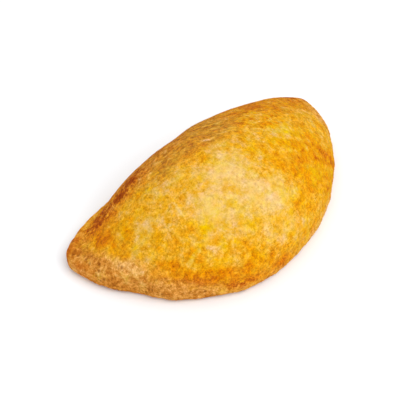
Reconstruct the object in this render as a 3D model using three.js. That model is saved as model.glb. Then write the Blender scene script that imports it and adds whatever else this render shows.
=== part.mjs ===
// A baked half-moon cheese pie: one round of shortcrust folded over its filling, pressed shut and whole.
// Millimetres, +Z up. The fold faces +Y, the round sealed edge -Y, the slim tip -X and the broad corner +X.
import * as THREE from 'three';
import { ImprovedNoise } from 'three/addons/math/ImprovedNoise.js';
import { mergeVertices } from 'three/addons/utils/BufferGeometryUtils.js';

// Outline from above, about the point where the widest section crosses the line between tip and corner
const LENGTH = 136;
const WIDTH = 75;
const TIP_REACH = 60.4;
const CORNER_REACH = LENGTH - TIP_REACH;
const FOLD_BOW = 17.2;
const FRONT_BOW = WIDTH - FOLD_BOW;
const FRONT_FULLNESS = 1.62; // 2 is a true oval, less draws the edge in to a point at both ends
const FOLD_FULLNESS = 2.36;

// Unevenness pressed into the edge by hand: blunt corners of the sealed side, and a slow wave
const EDGE_CORNERS = [235, 257, 308, 338]; // turns in degrees
const EDGE_CORNER_OUT = 0.6;
const EDGE_CORNER_SPREAD = 6; // degrees
const EDGE_WAVE = 0.7;
const EDGE_WAVE_CELLS = 3.1; // cells of unevenness from the middle to the edge

// Cross-section: a rounded edge of two pressed layers under a dome that is steep towards the fold
const HEIGHT = 37;
const EDGE_HEIGHT = 7.2;
const FOOT_RADIUS = 3;
const LIP_RADIUS = 2.2;
const FRONT_RISE = 0.62; // powers of the distance from each edge: less rises more steeply
const FOLD_RISE = 0.38;
const FOLD_SOFTNESS = 0.02; // share of the width over which the dome's foot is softened on the fold side
const TIP_PINCH = 0.8; // added to the fold's power at the tip, where the fold is pinched flatter
const TIP_TAPER = 2.4; // powers of the local width: more leaves the end flatter
const CORNER_TAPER = 1.74;

// Ledges of the lower layer that show behind the dome, widest at the two ends of the fold
const TIP_LEDGE = { width: 4, run: 33 };
const CORNER_LEDGE = { width: 2.5, run: 28 };

// Soft lumps where the filling presses against the crust
const LUMP_DEPTH = 1.1;
const LUMP_SPAN = 19;
const NOISE_SLICE = 0.5; // level at which the solid noise is cut

// Steps of the faceted skin, whose rings close in on a hub under the top of the dome
const HUB = new THREE.Vector2(6, -14);
const TURN_STEPS = 120;
const BASE_STEPS = 2;
const SIDE_STEPS = 6;
const TOP_STEPS = 29;
const EDGE_CROWDING = 1.4; // more gathers the top's rings towards the edge

const CRUST_COLOUR = 0xe6ab4a;

const { clamp, degToRad } = THREE.MathUtils;
const unevenness = new ImprovedNoise();

// Point of the true half-moon at a turn: four quarter ovals of their own reach and fullness
function edgePoint(turn) {
  const along = Math.cos(turn);
  const across = Math.sin(turn);
  const reach = along > 0 ? CORNER_REACH : TIP_REACH;
  const bow = across > 0 ? FOLD_BOW : FRONT_BOW;
  const fullness = across > 0 ? FOLD_FULLNESS : FRONT_FULLNESS;
  return new THREE.Vector2(reach * along, bow * Math.sign(across) * Math.abs(across) ** (2 / fullness));
}

// How far the hand-pressed edge stands out from the true half-moon
function edgeUnevenness(turn) {
  const cellX = EDGE_WAVE_CELLS * Math.cos(turn);
  const cellY = EDGE_WAVE_CELLS * Math.sin(turn);
  let out = EDGE_WAVE * unevenness.noise(cellX, cellY, NOISE_SLICE);
  for (const corner of EDGE_CORNERS) {
    const away = turn - degToRad(corner);
    const turned = Math.atan2(Math.sin(away), Math.cos(away)) / degToRad(EDGE_CORNER_SPREAD);
    out += EDGE_CORNER_OUT * Math.exp(-(turned ** 2));
  }
  return out;
}

// Width of the ledge behind the dome at a place along the length
function ledgeWidth(x) {
  const fromTip = (x + TIP_REACH) / TIP_LEDGE.run;
  const fromCorner = (CORNER_REACH - x) / CORNER_LEDGE.run;
  return TIP_LEDGE.width * Math.exp(-(fromTip ** 2)) + CORNER_LEDGE.width * Math.exp(-(fromCorner ** 2));
}

// Arch of the dome at a share of the way from the front edge to the fold
function arch(across, foldRise) {
  const fromFold = (1 - across + FOLD_SOFTNESS) ** foldRise - FOLD_SOFTNESS ** foldRise;
  return across ** FRONT_RISE * fromFold;
}

// Height of the upper skin: each cross-section is one steep-backed arch, lower where the pie is narrower
function topHeight(x, y) {
  const reach = x > 0 ? CORNER_REACH : TIP_REACH;
  const narrowing = Math.sqrt(Math.max(0, 1 - (x / reach) ** 2));
  const front = -FRONT_BOW * narrowing ** (2 / FRONT_FULLNESS);
  const width = FOLD_BOW * narrowing ** (2 / FOLD_FULLNESS) - front;
  const domeWidth = Math.max(width - ledgeWidth(x), Number.EPSILON);
  const across = clamp((y - front) / domeWidth, 0, 1);
  const foldRise = FOLD_RISE + TIP_PINCH * Math.min(x / TIP_REACH, 0) ** 2;
  const crest = FRONT_RISE / (FRONT_RISE + foldRise);
  const rise = arch(across, foldRise) / arch(crest, foldRise);
  const taper = (width / WIDTH) ** (x > 0 ? CORNER_TAPER : TIP_TAPER);
  const lump = LUMP_DEPTH * unevenness.noise(x / LUMP_SPAN, y / LUMP_SPAN, NOISE_SLICE);
  return EDGE_HEIGHT + (HEIGHT - EDGE_HEIGHT + lump) * rise * taper;
}

// How far a rounded corner of this radius has turned away at a distance short of its end
function roundedAway(radius, distance) {
  const into = clamp(1 - distance / radius, 0, 1);
  return radius * (1 - Math.sqrt(1 - into ** 2));
}

// Section of a plain round of unit radius and thickness, from the middle of its base to that of its top
function unitSection() {
  const points = [];
  for (let i = 0; i < BASE_STEPS; i++) {
    points.push(new THREE.Vector2(i / BASE_STEPS, 0));
  }
  for (let i = 0; i < SIDE_STEPS; i++) {
    points.push(new THREE.Vector2(1, i / SIDE_STEPS));
  }
  for (let i = 0; i <= TOP_STEPS; i++) {
    const inward = (i / TOP_STEPS) ** EDGE_CROWDING;
    points.push(new THREE.Vector2(1 - inward, 1));
  }
  return points;
}

// The round is turned about +Z, then each of its points moves to its place on the filled half-moon
function pastryGeometry() {
  const round = new THREE.LatheGeometry(unitSection(), TURN_STEPS).rotateX(Math.PI / 2);
  round.deleteAttribute('normal');
  round.deleteAttribute('uv');
  const skin = mergeVertices(round);
  const position = skin.getAttribute('position');
  const point = new THREE.Vector3();
  for (let i = 0; i < position.count; i++) {
    point.fromBufferAttribute(position, i);
    const share = Math.min(Math.hypot(point.x, point.y), 1);
    const turn = Math.atan2(point.y, point.x);
    const spoke = edgePoint(turn).sub(HUB);
    const place = spoke.clone().multiplyScalar(share).add(HUB);
    const lipDrop = roundedAway(LIP_RADIUS, (1 - share) * spoke.length());
    const height = point.z * (topHeight(place.x, place.y) - lipDrop);
    const footInset = roundedAway(FOOT_RADIUS, height);
    place.add(spoke.setLength(share * (edgeUnevenness(turn) - footInset)));
    position.setXYZ(i, place.x, place.y, height);
  }
  skin.computeBoundingBox();
  const middle = skin.boundingBox.getCenter(new THREE.Vector3());
  skin.translate(-middle.x, -middle.y, 0);
  skin.computeVertexNormals();
  return skin;
}

const crust = new THREE.MeshStandardMaterial({ color: CRUST_COLOUR, roughness: 0.6, metalness: 0 });
const pastry = new THREE.Mesh(pastryGeometry(), crust);
pastry.name = 'pastry';

const pie = new THREE.Group();
pie.add(pastry);

export default pie;
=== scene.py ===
import math

import bmesh
import bpy
import numpy as np
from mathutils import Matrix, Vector, noise


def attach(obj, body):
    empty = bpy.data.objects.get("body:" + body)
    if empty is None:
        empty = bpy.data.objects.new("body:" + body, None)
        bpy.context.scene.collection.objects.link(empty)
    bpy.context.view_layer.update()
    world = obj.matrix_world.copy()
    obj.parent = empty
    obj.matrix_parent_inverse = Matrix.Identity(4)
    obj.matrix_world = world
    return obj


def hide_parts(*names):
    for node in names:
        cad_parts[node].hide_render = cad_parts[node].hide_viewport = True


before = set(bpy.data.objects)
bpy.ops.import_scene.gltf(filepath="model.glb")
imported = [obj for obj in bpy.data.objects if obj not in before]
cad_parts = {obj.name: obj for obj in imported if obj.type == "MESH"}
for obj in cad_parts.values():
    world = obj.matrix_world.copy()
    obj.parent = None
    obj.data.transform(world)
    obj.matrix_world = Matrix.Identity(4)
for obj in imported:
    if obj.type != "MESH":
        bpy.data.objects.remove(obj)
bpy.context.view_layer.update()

# The crust
# A round of shortcrust folded once over its filling into a half-moon, pressed shut by hand and baked whole.
# It is one piece of dough: its top is brushed with beaten egg, its edge and underside are left bare.

MM = 1000  # millimetres in a metre
CELL = 0.00054  # side of the skin's mesh cells, in metres
WELD_GAP = CELL / 100
ROUNDING_LEVELS = 2  # times that the solid's faces are split and rounded
EVENING_PASSES = 6  # times that the cells are evened out

crust_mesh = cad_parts["pastry"].data.copy()
weld = bmesh.new()
weld.from_mesh(crust_mesh)
bmesh.ops.remove_doubles(weld, verts=weld.verts, dist=WELD_GAP)
weld.to_mesh(crust_mesh)
weld.free()

crust = bpy.data.objects.new("crust", crust_mesh)
bpy.context.scene.collection.objects.link(crust)
rounding = crust.modifiers.new("rounding", "SUBSURF")
rounding.levels = ROUNDING_LEVELS
fine_cells = crust.modifiers.new("fine_cells", "REMESH")
fine_cells.mode = "VOXEL"
fine_cells.voxel_size = CELL
even_cells = crust.modifiers.new("even_cells", "SMOOTH")
even_cells.iterations = EVENING_PASSES
shaped = crust.evaluated_get(bpy.context.evaluated_depsgraph_get())
skin = bpy.data.meshes.new_from_object(shaped)
crust.modifiers.clear()
crust.data = skin


def vertex_vectors(mesh, what):
    """Places ("co") or normals ("normal") of a mesh's vertices, one row each."""
    values = np.empty(len(mesh.vertices) * 3)
    mesh.vertices.foreach_get(what, values)
    return values.reshape(-1, 3)


# Places on the crust in millimetres: x from tip to corner, y from sealed edge to fold, z up
place = vertex_vectors(skin, "co") * MM
x, y, z = place.T.copy()
facing = vertex_vectors(skin, "normal")
fold_facing = facing[:, 1]  # 1 where the crust faces straight away from the sealed edge


def ease(low, high, value):
    """0 below low, 1 above high and an even curve between them."""
    share = np.clip((value - low) / (high - low), 0, 1)
    return share * share * (3 - 2 * share)


def hump(away, reach):
    """1 at no distance away, falling softly to 0 beyond the reach on both sides."""
    return np.exp(-((away / reach) ** 2))


def unevenness(span, seed):
    """Noise of about -1 to 1 over the crust, with lumps about span millimetres across."""
    return np.array([noise.noise(p) for p in (place / span + seed).tolist()])


LUMP_FADE = 0.6  # how fast finer lumps grow lower
LUMP_STEP = 2.0  # each size of lump against the next finer one
LUMP_SIZES = 4


def roughness(span, seed):
    """Noise of about -1 to 1 over the crust, whose lumps carry finer and finer lumps."""
    points = (place / span + seed).tolist()
    return np.array([noise.fractal(p, LUMP_FADE, LUMP_STEP, LUMP_SIZES) for p in points])


def wandering(seed):
    """Millimetres by which a border wanders: wide bends with half as much of narrow ones."""
    return 2.6 * unevenness(7.0, seed) + 1.3 * unevenness(2.6, seed + 1)


# The plan is warped a little, so that no patch of the crust has a clean outline and no scratch is straight
warp_x = x + wandering(seed=11)
warp_y = y + wandering(seed=23)
waver_x = x + 0.5 * unevenness(3.0, seed=37)
waver_y = y + 0.5 * unevenness(3.0, seed=41)


def patch(middle, reach):
    """1 at a place seen from above, falling softly to 0 beyond its reach along x and y."""
    return hump(warp_x - middle[0], reach[0]) * hump(warp_y - middle[1], reach[1])


def swelling(middle, reach):
    """A patch of the crust with a clean outline."""
    return hump(x - middle[0], reach[0]) * hump(y - middle[1], reach[1])


def layered(spots, form=patch):
    """Patches or swellings added together, each given by its strength, middle and reach."""
    return sum(strength * form(middle, reach) for strength, middle, reach in spots)


def scratch(start, end, width):
    """1 on a thin line between two places seen from above, falling to 0 beyond its width."""
    run = np.subtract(end, start)
    from_x = waver_x - start[0]
    from_y = waver_y - start[1]
    share = np.clip((from_x * run[0] + from_y * run[1]) / (run @ run), 0, 1)
    away = np.hypot(from_x - share * run[0], from_y - share * run[1])
    return 1 - ease(0.3 * width, width, away)


# Bare dough: low on the sides, over the whole slim tip and on the underside
BARE_HEIGHT = 4.5  # millimetres up the side that the brush missed
BARE_RISES = [  # millimetres more or less, middle and reach
    # on the tip
    (8.0, (-68, 14), (13, 22)),
    (6.5, (-60, 0), (8, 9)),
    (6.5, (-53, -6), (6, 8)),
    (3.0, (-49, -14), (6, 5)),
    # on the sealed edge
    (6.0, (-46, -24), (14, 12)),
    (-2.5, (-8, -37), (22, 8)),
    # on the corner
    (9.0, (60, 6), (10, 16)),
]
BARE_FADE = 4.4  # millimetres above and below its border over which the bare dough fades out

bare_border = z - BARE_HEIGHT - layered(BARE_RISES)
bare_border += 1.8 * unevenness(5.0, seed=31) + 1.2 * unevenness(2.0, seed=32)
bare = 1 - ease(-BARE_FADE, BARE_FADE, bare_border)

# Tan: how far the bare dough has coloured, from cream to brown
EVEN_TAN = 0.50
TAN_PATCHES = [
    # on the tip
    (0.18, (-63, 18), (5, 7)),
    (0.40, (-63, 27), (6, 4)),
    (0.16, (-62.5, 25), (4, 4)),
    (-0.30, (-68, 18), (2, 5)),
    (0.08, (-54, -9), (5, 4)),
    # on the sealed edge
    (0.07, (-40, -26), (18, 10)),
    (-0.34, (28, -30), (26, 14)),
]

tan = EVEN_TAN + layered(TAN_PATCHES)
tan += 0.24 * patch((-62, 0), (7, 9)) * (1 - ease(9, 13, z))
tan -= 0.42 * patch((-56.5, 1), (6, 7)) * ease(10, 13, z)

# Egg wash: how deeply it has coloured, from pale where it ran off the crest to orange where it pooled; the
# crest's paleness is also a painted highlight
EVEN_BAKE = 0.54
PALER_WASH_AND_HIGHLIGHT = [
    # on the crest: thin wash, and a painted highlight
    (0.34, (0, -22), (12, 10)),
    (0.35, (-9, -5), (10, 9)),
    (0.12, (-8, -21), (4, 4)),
    (0.16, (-5, 7), (4, 3)),
    # towards the tip
    (0.18, (-19, -17), (11, 9)),
    (0.34, (-25.5, -12), (5, 8)),
    (0.20, (-23, 5), (6, 3)),
    (0.22, (-46, 2), (5, 4)),
    (0.15, (-55, 1), (4, 4)),
    # towards the fold
    (0.22, (10, 20), (13, 5)),
    (0.15, (25, 11), (4, 3)),
    # towards the corner
    (0.26, (29, -2), (7, 6)),
    (0.30, (26, -21.5), (3, 3)),
    # low on the front
    (0.20, (6, -36), (6, 4)),
]
DEEPER_WASH = [
    # on the crest
    (0.22, (4, -13.5), (4, 4)),
    (0.16, (-6, -26), (4, 4)),
    # towards the tip
    (0.12, (-31.5, -9.5), (4, 4)),
    (0.12, (-40, -24), (5, 4)),
    (0.18, (-45, -14.5), (6, 5)),
    (0.26, (-52, 5), (5, 4)),
    (0.28, (-53, 20), (4, 4)),
    (0.18, (-54.5, 14), (3.4, 5)),
    (0.18, (-56, 12), (2.5, 4)),
    # towards the fold
    (0.20, (-16, 6), (5, 4)),
    (0.16, (25, 5), (4, 3)),
    (0.12, (29, 19), (8, 4)),
    # towards the corner
    (0.14, (14, -19), (6, 7)),
    (0.16, (24, -19), (13, 11)),
    (0.24, (24, -17.5), (2.0, 1.6)),
    (0.12, (35, -9), (10, 9)),
    (0.34, (43, -16), (5, 4)),
    # low on the front
    (0.18, (9, -31.5), (5, 4)),
]
SHOULDER_HEIGHT = 11.5  # of the front, where the wash ran together above the edge
SHOULDER_REACH = 4.4

bake_and_highlight = EVEN_BAKE - layered(PALER_WASH_AND_HIGHLIGHT) + layered(DEEPER_WASH)
bake_and_highlight += 0.22 * patch((-10, -37), (20, 6)) * (1 - ease(6, 11, z))  # under the front shoulder
bake_and_highlight += 0.14 * patch((-20, -34), (4, 4)) * ease(11, 14, z)  # and above it
fold_start = 11 - 9 * ease(-34, -10, x)  # y where the fold begins to darken, less away from the tip
bake_and_highlight += (0.10 + 0.10 * ease(-26, -6, x)) * ease(0, 12, warp_y - fold_start)
shoulder = hump(z - SHOULDER_HEIGHT, SHOULDER_REACH) * ease(4, 16, -warp_y) * (1 - ease(2, 14, warp_x))
bake_and_highlight += shoulder * (0.13 + 0.23 * patch((-34, -28), (17, 14)))
# Scratches that show paler dough
bake_and_highlight -= 0.26 * scratch((-41.2, -19.0), (-36.2, -19.6), 1.2)
bake_and_highlight -= 0.20 * scratch((-31.9, -0.8), (-32.6, -6.0), 0.7)
bake_and_highlight -= 0.30 * scratch((-24.4, 24.4), (-18.4, 16.2), 0.8)

# Strokes of the brush near the corner, and fine creases of the dough along the fold, over which painted
# shade darkens the fold side
strokes = patch((26, 9), (10, 11))
creases_and_fold_shade = ease(7, 15, warp_y + 5 * patch((4, 9), (13, 6)))
creases_and_fold_shade *= ease(-38, -22, x) * (1 - 0.8 * ease(8, 24, x))

# Richness: where the wash lies thick, towards the corner and low on the front, its colour is purer
EVEN_RICHNESS = 0.1
WASH_THICKNESS = [
    # thin on the crest
    (-0.2, (-6, -16), (12, 12)),
    # towards the corner
    (1.15, (28, -15), (18, 17)),
    (0.7, (41, -18), (13, 10)),
    (0.5, (29, 19), (8, 4)),
    # towards the tip
    (0.5, (-32, -22), (12, 10)),
    (0.45, (-53, 12), (6, 8)),
]

rich = EVEN_RICHNESS + layered(WASH_THICKNESS)

# Browning: a ridge along the fold from the tip, the back of the fold, the thin edges and the foot; a dark
# line on the back of the fold is partly painted shade, and dark spots at the foot are painted contact
# shadow
RIDGE_LINE = 25.4  # y of the ridge that pinching left
RIDGE_FRONT_REACH = 5.6
RIDGE_BACK_REACH = 4.3
FOLD_BROWNING = [
    (0.32, (-11, 9.5), (6, 4)),
    (0.10, (6, 12), (9, 6)),
    (0.35, (16, 18), (4, 4)),
    (0.60, (33, 20), (6, 3)),
    (0.65, (57, 19), (8, 3)),
]
FRONT_EDGE_HEIGHT = 7
FRONT_EDGE_REACH = 2.8
BACK_FACING = 0.83  # facing of the back's darkest line, partly browning and partly painted shade
BACK_FACING_DROP = 0.16  # lost from it towards the corner
BACK_FACING_REACH = 0.08

from_ridge = y - RIDGE_LINE + 1.2 * unevenness(4.0, seed=43)
ridge = hump(from_ridge, np.where(from_ridge < 0, RIDGE_FRONT_REACH, RIDGE_BACK_REACH))
ridge *= ease(-60, -50, x) * (1 - 0.8 * ease(-36, -20, x))
ridge *= 1 - 0.75 * ease(0.74, 0.92, fold_facing + 0.08 * unevenness(3.0, seed=47))
flange = 0.12 * ease(27, 30, y) * (1 - ease(-36, -24, x)) + 0.70 * patch((-63, 27), (6, 4))
fold = 0.26 * ease(12, 20, warp_y) * ease(-44, -26, x) * (1 - 0.85 * ease(-10, 10, x))
fold += layered(FOLD_BROWNING)
back = 0.30 * ease(0.80, 0.90, fold_facing) * ease(-40, -24, x) * ease(6, 14, z)
# A thin darker line high on the back of the fold, where it turns away: partly browning, partly painted
# shade along the outline
from_back = fold_facing - BACK_FACING + BACK_FACING_DROP * ease(5, 35, x)
back += 0.40 * hump(from_back, BACK_FACING_REACH) * ease(-46, -34, x) * ease(6, 10, z)
tip_edge = 1 - ease(-67.5, -63.5, x + 0.6 * unevenness(5.0, seed=53))
foot_and_contact_shadow = 1 - ease(0.1, 1.3, z + 0.7 * unevenness(6.0, seed=59))
foot_and_contact_shadow *= 0.8 + 1.4 * ease(0.1, 0.35, unevenness(6.0, seed=97))  # darker here and there: painted contact shadow under the foot
front_edge = hump(z - FRONT_EDGE_HEIGHT, FRONT_EDGE_REACH) * ease(22, 30, -y)
front_edge *= ease(-42, -30, x) * (1 - ease(4, 18, x))
front_edge *= 0.7 + 1.5 * patch((-28, -34), (6, 5))
toast_and_shade = 1.15 * ridge + flange + fold + back + 0.45 * (front_edge + tip_edge + foot_and_contact_shadow)

# Pits where the dough is bare, and two hairline cracks on the front
PIT_SPAN = 2.4  # millimetres from pit to pit
PIT_FLOOR = 0.14  # shares of that span, from the middle of a pit
PIT_RIM = 0.36
HAIRLINE_WIDTH = 0.6  # millimetres

nearest = [noise.voronoi(p) for p in (place / PIT_SPAN).tolist()]
pit_gap = np.array([gaps[0] for gaps, middles in nearest])
pits = bare * (1 - ease(PIT_FLOOR, PIT_RIM, pit_gap)) * ease(-0.2, 0.2, unevenness(5.0, seed=67))
hairlines = scratch((3.7, -20.4), (7.9, -24.2), HAIRLINE_WIDTH)
hairlines += scratch((7.9, -28.9), (8.0, -32.3), HAIRLINE_WIDTH)

# Relief in millimetres: soft swells, flaky crumb, and an edge that wavers with the dents left by pressing
SWELL_DEPTH = 0.28
FLAKE_DEPTH = 0.20
FOLD_SMOOTHNESS = 0.6  # share of the swells and flakes that the taut fold lacks
WASHED_CRUMB_DEPTH = 0.06
BARE_CRUMB_DEPTH = 0.15
WAVER_DEPTH = 0.40
PIT_DEPTH = 0.40
HAIRLINE_DEPTH = 0.12
EDGE_DENTS = [  # dents below 0, bulges above
    (-1.2, (-39, -28), (7, 6)),
    (-1.5, (-58, -6.5), (6, 7)),
    (-0.5, (12, -36), (12, 6)),
    (-0.6, (41, -21), (6, 6)),
    (0.4, (-49, -18), (5, 5)),
    (0.8, (-65, 25), (5, 5)),
]
FOLD_SWELLINGS = [  # hollows below 0
    (0.7, (-29, 29), (8, 6)),
    (-0.4, (-8, 27), (8, 6)),
    (0.7, (6, 27), (9, 6)),
    (0.6, (50, 22), (14, 6)),
]

edge = 1 - ease(5, 12, z)
crumb_depth = WASHED_CRUMB_DEPTH + (BARE_CRUMB_DEPTH - WASHED_CRUMB_DEPTH) * bare
relief = SWELL_DEPTH * unevenness(8.0, seed=71) + FLAKE_DEPTH * roughness(3.6, seed=83)
relief *= 1 - FOLD_SMOOTHNESS * ease(14, 22, y)
relief += crumb_depth * unevenness(1.2, seed=79)
relief += edge * (WAVER_DEPTH * unevenness(5.0, seed=89) + layered(EDGE_DENTS))
relief += layered(FOLD_SWELLINGS, swelling)
relief -= PIT_DEPTH * pits + HAIRLINE_DEPTH * hairlines
relief *= ease(0.1, 1.5, z)  # the base stays flat

place += facing * relief[:, None]
place[:, 2] = np.maximum(place[:, 2], 0)  # nothing sinks below the base
skin.vertices.foreach_set("co", (place / MM).ravel())
marks = {
    "bake_and_highlight": bake_and_highlight,
    "rich": rich,
    "strokes": strokes,
    "creases_and_fold_shade": creases_and_fold_shade,
    "bare": bare,
    "tan": tan,
    "toast_and_shade": toast_and_shade,
    "pits": pits,
    "hairlines": hairlines,
}
for name, values in marks.items():
    skin.attributes.new(name, "FLOAT", "POINT").data.foreach_set("value", values.astype(np.float32))
skin.shade_smooth()
skin.update()

# Material: colour, gloss and fine crumb of the baked dough
crust_look = bpy.data.materials.new("baked_crust")
crust_look.use_nodes = True
look = crust_look.node_tree
shader = look.nodes["Principled BSDF"]


def srgb(red, green, blue):
    """A colour as seen on screen, in 0 to 255, as the light that it reflects."""
    seen = np.array([red, green, blue]) / 255
    light = np.where(seen <= 0.04045, seen / 12.92, ((seen + 0.055) / 1.055) ** 2.4)
    return (*light, 1.0)


# Colours along the depth of baking (its pale end also gives the crest's painted highlight), the tan and the
# browning (which also gives painted shade), each with its place from 0 to 1
WASH_COLOURS = [
    (0.00, srgb(248, 209, 126)),
    (0.20, srgb(244, 199, 112)),
    (0.35, srgb(240, 190, 87)),
    (0.50, srgb(241, 180, 50)),
    (0.62, srgb(238, 167, 24)),
    (0.75, srgb(234, 152, 10)),
    (0.87, srgb(226, 134, 8)),
    (1.00, srgb(208, 108, 12)),
]
DOUGH_COLOURS = [
    (0.00, srgb(250, 198, 122)),
    (0.35, srgb(236, 169, 83)),
    (0.65, srgb(218, 141, 50)),
    (1.00, srgb(188, 106, 28)),
]
TOAST_AND_SHADE_COLOURS = [
    (0.14, srgb(228, 134, 24)),
    (0.42, srgb(216, 112, 22)),
    (0.72, srgb(188, 84, 14)),
    (1.00, srgb(164, 64, 8)),
]
# Painted shade for the fold side, which faces away from the lamp
FOLD_SHADE_COLOUR = srgb(182, 132, 64)
PIT_COLOUR = srgb(150, 84, 26)
HAIRLINE_COLOUR = srgb(190, 120, 30)
PURER = (1.0, 1.0, 0.4, 1.0)  # what thick wash lets through of red, green and blue
GREENER = (0.95, 1.03, 1.0, 1.0)  # a slight tint that comes and goes across the wash


def add(kind, **settings):
    """A node of the crust's material with these settings."""
    made = look.nodes.new(kind)
    for name, value in settings.items():
        setattr(made, name, value)
    return made


def feed(socket, source):
    """Joins an output to a socket, or sets the socket to a value."""
    if isinstance(source, bpy.types.NodeSocket):
        look.links.new(source, socket)
    else:
        socket.default_value = source


def maths(operation, *sources):
    """One step of arithmetic on outputs and numbers."""
    made = add("ShaderNodeMath", operation=operation)
    for socket, source in zip(made.inputs, sources):
        feed(socket, source)
    return made.outputs[0]


def times(first, second):
    """Two values multiplied."""
    return maths("MULTIPLY", first, second)


def plus(level, layer, gain):
    """A level with a layer of some gain added to it."""
    return maths("MULTIPLY_ADD", layer, gain, level)


def held(value, low=0.0, high=1.0):
    """A value kept between two numbers."""
    return maths("MINIMUM", maths("MAXIMUM", value, low), high)


def mark(name):
    """One of the values stored on the crust's vertices."""
    return add("ShaderNodeAttribute", attribute_name=name).outputs["Fac"]


def ramp(value, stops):
    """The colour at a value, between stops that each have a place and a colour."""
    made = add("ShaderNodeValToRGB")
    points = made.color_ramp.elements
    while len(points) < len(stops):
        points.new(0.5)
    for point, (spot, colour) in zip(points, stops):
        point.position = spot
        point.color = colour
    feed(made.inputs[0], value)
    return made.outputs["Color"]


def mix(share, first, second, blend="MIX", held_share=True):
    """Two colours laid over each other."""
    made = add("ShaderNodeMix", data_type="RGBA", blend_type=blend, clamp_factor=held_share)
    feed(made.inputs["Factor"], share)
    # The node's sockets for colours come after those for numbers and vectors
    feed(made.inputs[6], first)
    feed(made.inputs[7], second)
    return made.outputs[2]


def tinted(share, colour, tint):
    """A colour multiplied by a share of a tint, which may be less than none or more than all of it."""
    return mix(share, colour, tint, "MULTIPLY", held_share=False)


millimetres = add("ShaderNodeMapping")
millimetres.inputs["Scale"].default_value = (MM, MM, MM)
feed(millimetres.inputs["Vector"], add("ShaderNodeTexCoord").outputs["Object"])


def mottle(span, detail, gain=0.62, vector=millimetres.outputs[0]):
    """Signed noise of about -1 to 1, with spots about span millimetres across and finer spots in them."""
    made = add("ShaderNodeTexNoise", normalize=False)
    feed(made.inputs["Vector"], vector)
    made.inputs["Scale"].default_value = 1 / span
    made.inputs["Detail"].default_value = detail
    made.inputs["Roughness"].default_value = gain
    return made.outputs["Fac"]


# The places of the flakes are shaken, so that their outlines are ragged
SHAKE = 0.9  # millimetres
SHAKES_A_MILLIMETRE = 0.9

shake = add("ShaderNodeTexNoise", normalize=False)
feed(shake.inputs["Vector"], millimetres.outputs[0])
shake.inputs["Scale"].default_value = SHAKES_A_MILLIMETRE
shaken = add("ShaderNodeVectorMath", operation="MULTIPLY_ADD")
feed(shaken.inputs[0], shake.outputs["Color"])
shaken.inputs[1].default_value = (SHAKE, SHAKE, SHAKE)
feed(shaken.inputs[2], millimetres.outputs[0])


def chips(span, softness):
    """A random value of -0.5 to 0.5 for each of many ragged flakes about span millimetres across."""
    made = add("ShaderNodeTexVoronoi", feature="SMOOTH_F1")
    feed(made.inputs["Vector"], shaken.outputs[0])
    made.inputs["Scale"].default_value = 1 / span
    made.inputs["Smoothness"].default_value = softness
    parts = add("ShaderNodeSeparateColor")
    feed(parts.inputs[0], made.outputs["Color"])
    return maths("SUBTRACT", parts.outputs[0], 0.5)


DRAWING_OUT = 0.16  # width of a drawn-out streak against its length


def drawn_out(degrees, span):
    """Signed noise drawn out into streaks that run at this turn, seen from above."""
    turned = add("ShaderNodeVectorRotate", rotation_type="Z_AXIS")
    feed(turned.inputs["Vector"], millimetres.outputs[0])
    turned.inputs["Angle"].default_value = -math.radians(degrees)
    drawn = add("ShaderNodeMapping")
    drawn.inputs["Scale"].default_value = (DRAWING_OUT, 1, 1)
    feed(drawn.inputs["Vector"], turned.outputs[0])
    return mottle(span, 2.0, 0.5, drawn.outputs[0])


blotches = mottle(4.5, 4.0)
grain = mottle(1.5, 3.0, 0.9)
clouds = mottle(6.0, 2.0)
tints = mottle(4.0, 1.0)
flakes = chips(2.8, 0.35)
flecks = chips(1.1, 0.1)
specks = chips(0.6, 0.1)
crumbs = plus(plus(grain, flecks, 0.4), specks, 0.3)
along_brush = drawn_out(-44, 0.9)
along_side = drawn_out(72, 1.1)
along_fold = drawn_out(-26, 1.5)


def broken(level, gain):
    """A mark that the blotches and flecks break up where it is."""
    share = plus(plus(1.0, blotches, gain), flecks, 0.4 * gain)
    return times(level, share)


# Washed dough: baked in blotches, flakes and streaks, purer where the wash is thick, and darkened by
# painted shade on the fold side, over its creases
bake_and_highlight_level = plus(mark("bake_and_highlight"), blotches, 0.20)
bake_and_highlight_level = plus(bake_and_highlight_level, flakes, 0.14)
bake_and_highlight_level = plus(bake_and_highlight_level, crumbs, -0.09)
bake_and_highlight_level = plus(bake_and_highlight_level, along_brush, plus(0.06, mark("strokes"), 0.35))
bake_and_highlight_level = plus(bake_and_highlight_level, along_side, times(mark("rich"), 0.14))
bake_and_highlight_level = plus(bake_and_highlight_level, along_fold, times(mark("creases_and_fold_shade"), 0.36))
rich_level = plus(mark("rich"), clouds, plus(0.6, mark("bake_and_highlight"), 2.0))
rich_level = plus(rich_level, blotches, plus(-0.2, mark("bake_and_highlight"), 1.7))
rich_level = plus(rich_level, flakes, plus(0.65, mark("rich"), 1.1))
rich_level = plus(rich_level, flecks, mark("bake_and_highlight"))
washed = tinted(rich_level, ramp(bake_and_highlight_level, WASH_COLOURS), PURER)
washed = tinted(tints, washed, GREENER)
# Painted shade darkens the fold side, where the creases are
washed = mix(times(mark("creases_and_fold_shade"), 0.40), washed, FOLD_SHADE_COLOUR)

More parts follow.
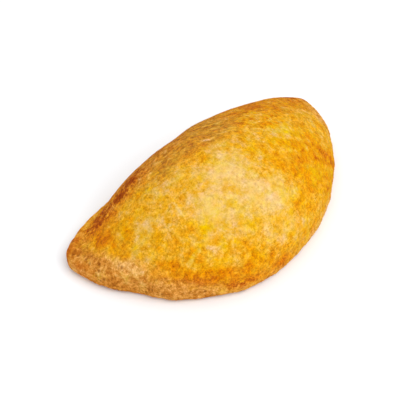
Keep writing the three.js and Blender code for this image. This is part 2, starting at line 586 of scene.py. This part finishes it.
# Bare dough, browning with its painted shade and painted contact shadow, pits and hairline cracks over it
bare_level = plus(mark("tan"), blotches, 0.28)
bare_level = plus(bare_level, crumbs, -0.29)
bare_share = held(broken(times(mark("bare"), 1.15), 0.8))
dough = mix(bare_share, washed, ramp(bare_level, DOUGH_COLOURS))
toast_and_shade_level = broken(mark("toast_and_shade"), 0.5)
toast_and_shade_level = plus(toast_and_shade_level, times(mark("toast_and_shade"), crumbs), -0.45)
toast_and_shade_share = held(times(toast_and_shade_level, 0.85), 0.0, 0.92)
browned_and_shaded = mix(toast_and_shade_share, dough, ramp(times(toast_and_shade_level, 0.7), TOAST_AND_SHADE_COLOURS))
pitted = mix(times(mark("pits"), 0.8), browned_and_shaded, PIT_COLOUR)
lined = mix(times(mark("hairlines"), 0.3), pitted, HAIRLINE_COLOUR)

# Light and dark crumbs, flakes and creases
grain_gain = plus(maths("MINIMUM", mark("bake_and_highlight"), 0.55), mark("rich"), -0.19)
grain_gain = plus(grain_gain, mark("bare"), -0.18)
grain_gain = plus(grain_gain, mark("creases_and_fold_shade"), 0.14)
shade = plus(1.0, times(crumbs, grain_gain), 0.42)
shade = plus(shade, flakes, -0.05)
shade = plus(shade, times(mark("creases_and_fold_shade"), along_fold), -0.20)
feed(shader.inputs["Base Color"], mix(1.0, lined, shade, "MULTIPLY"))

# Satin where it is washed, dull where it is bare, with a crumb too fine for the mesh
WASHED_ROUGHNESS = 0.5
BARE_ROUGHNESS = 0.75
CRUMB_DEPTH = 0.0002  # metres

feed(shader.inputs["Roughness"], plus(WASHED_ROUGHNESS, mark("bare"), BARE_ROUGHNESS - WASHED_ROUGHNESS))
shader.inputs["Specular IOR Level"].default_value = 0.03
fine_relief = add("ShaderNodeBump")
fine_relief.inputs["Strength"].default_value = 1.0
fine_relief.inputs["Distance"].default_value = CRUMB_DEPTH
feed(fine_relief.inputs["Height"], plus(grain, flecks, 0.5))
feed(shader.inputs["Normal"], fine_relief.outputs[0])

skin.materials.clear()
skin.materials.append(crust_look)
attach(crust, "root")
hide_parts("pastry")

# The floor
# A plain white sheet of matt card, wide enough to fill the camera's view.
# The pie only rests on it, and it is there to catch the soft shadow.

FLOOR_REACH = 3.0  # metres from the middle to each side
CARD_COLOUR = (0.93, 0.95, 0.97, 1)
CARD_ROUGHNESS = 0.9

floor_mesh = bpy.data.meshes.new("floor")
corners = [(-FLOOR_REACH, -FLOOR_REACH, 0), (FLOOR_REACH, -FLOOR_REACH, 0)]
corners += [(FLOOR_REACH, FLOOR_REACH, 0), (-FLOOR_REACH, FLOOR_REACH, 0)]
floor_mesh.from_pydata(corners, [], [(0, 1, 2, 3)])
floor = bpy.data.objects.new("floor", floor_mesh)
bpy.context.scene.collection.objects.link(floor)
floor_look = bpy.data.materials.new("white_card")
floor_look.use_nodes = True
floor_shader = floor_look.node_tree.nodes["Principled BSDF"]
floor_shader.inputs["Base Color"].default_value = CARD_COLOUR
floor_shader.inputs["Roughness"].default_value = CARD_ROUGHNESS
floor_shader.inputs["Specular IOR Level"].default_value = 0.1
floor_mesh.materials.append(floor_look)
floor.visible_glossy = False

# The camera
# A long lens that looks down on the pie from beyond its tip and sealed edge.
# Its place was found by fitting the pie's outline to the one in the photograph.

VIEW_TURN = math.radians(-44.2)
VIEW_RISE = math.radians(48)
VIEW_DISTANCE = 0.4740  # metres
VIEW_AIM = Vector((-0.0125, -0.0012, 0.012))
LENS = 100  # millimetres
SENSOR = 36  # millimetres

camera_right = Vector((math.cos(VIEW_TURN), math.sin(VIEW_TURN), 0))
camera_near = Vector((math.sin(VIEW_TURN), -math.cos(VIEW_TURN), 0))
upward = Vector((0, 0, 1))
towards_camera = math.cos(VIEW_RISE) * camera_near + math.sin(VIEW_RISE) * upward
camera = bpy.data.objects.new("camera", bpy.data.cameras.new("camera"))
camera.data.lens = LENS
camera.data.sensor_width = SENSOR
camera.location = VIEW_AIM + VIEW_DISTANCE * towards_camera
camera.rotation_euler = (-towards_camera).to_track_quat("-Z", "Y").to_euler()
bpy.context.scene.collection.objects.link(camera)
bpy.context.scene.camera = camera

# The light
# Bright white surroundings that light the pie evenly from all sides,
# and one wide soft lamp above it, to the camera's right.

SURROUNDINGS = 0.94  # brightness of the white all round
WHITE = (1, 1, 1, 1)
LAMP_POWER = 4.4  # watts
LAMP_SIZE = 0.8  # metres
LAMP_DISTANCE = 1.0  # metres
LAMP_RIGHT = 0.5  # shares of the way to the lamp, as the camera stands
LAMP_NEAR = 0.3
LAMP_UP = 0.8

towards_lamp = LAMP_RIGHT * camera_right + LAMP_NEAR * camera_near + LAMP_UP * upward
towards_lamp.normalize()
lamp = bpy.data.objects.new("lamp", bpy.data.lights.new("lamp", "AREA"))
lamp.data.energy = LAMP_POWER
lamp.data.size = LAMP_SIZE
lamp.location = LAMP_DISTANCE * towards_lamp
lamp.rotation_euler = (-towards_lamp).to_track_quat("-Z", "Y").to_euler()
bpy.context.scene.collection.objects.link(lamp)

world = bpy.data.worlds.new("surroundings")
world.use_nodes = True
world.node_tree.nodes["Background"].inputs["Color"].default_value = WHITE
world.node_tree.nodes["Background"].inputs["Strength"].default_value = SURROUNDINGS
world.cycles_visibility.glossy = False
bpy.context.scene.world = world
bpy.context.scene.view_settings.view_transform = "Standard"
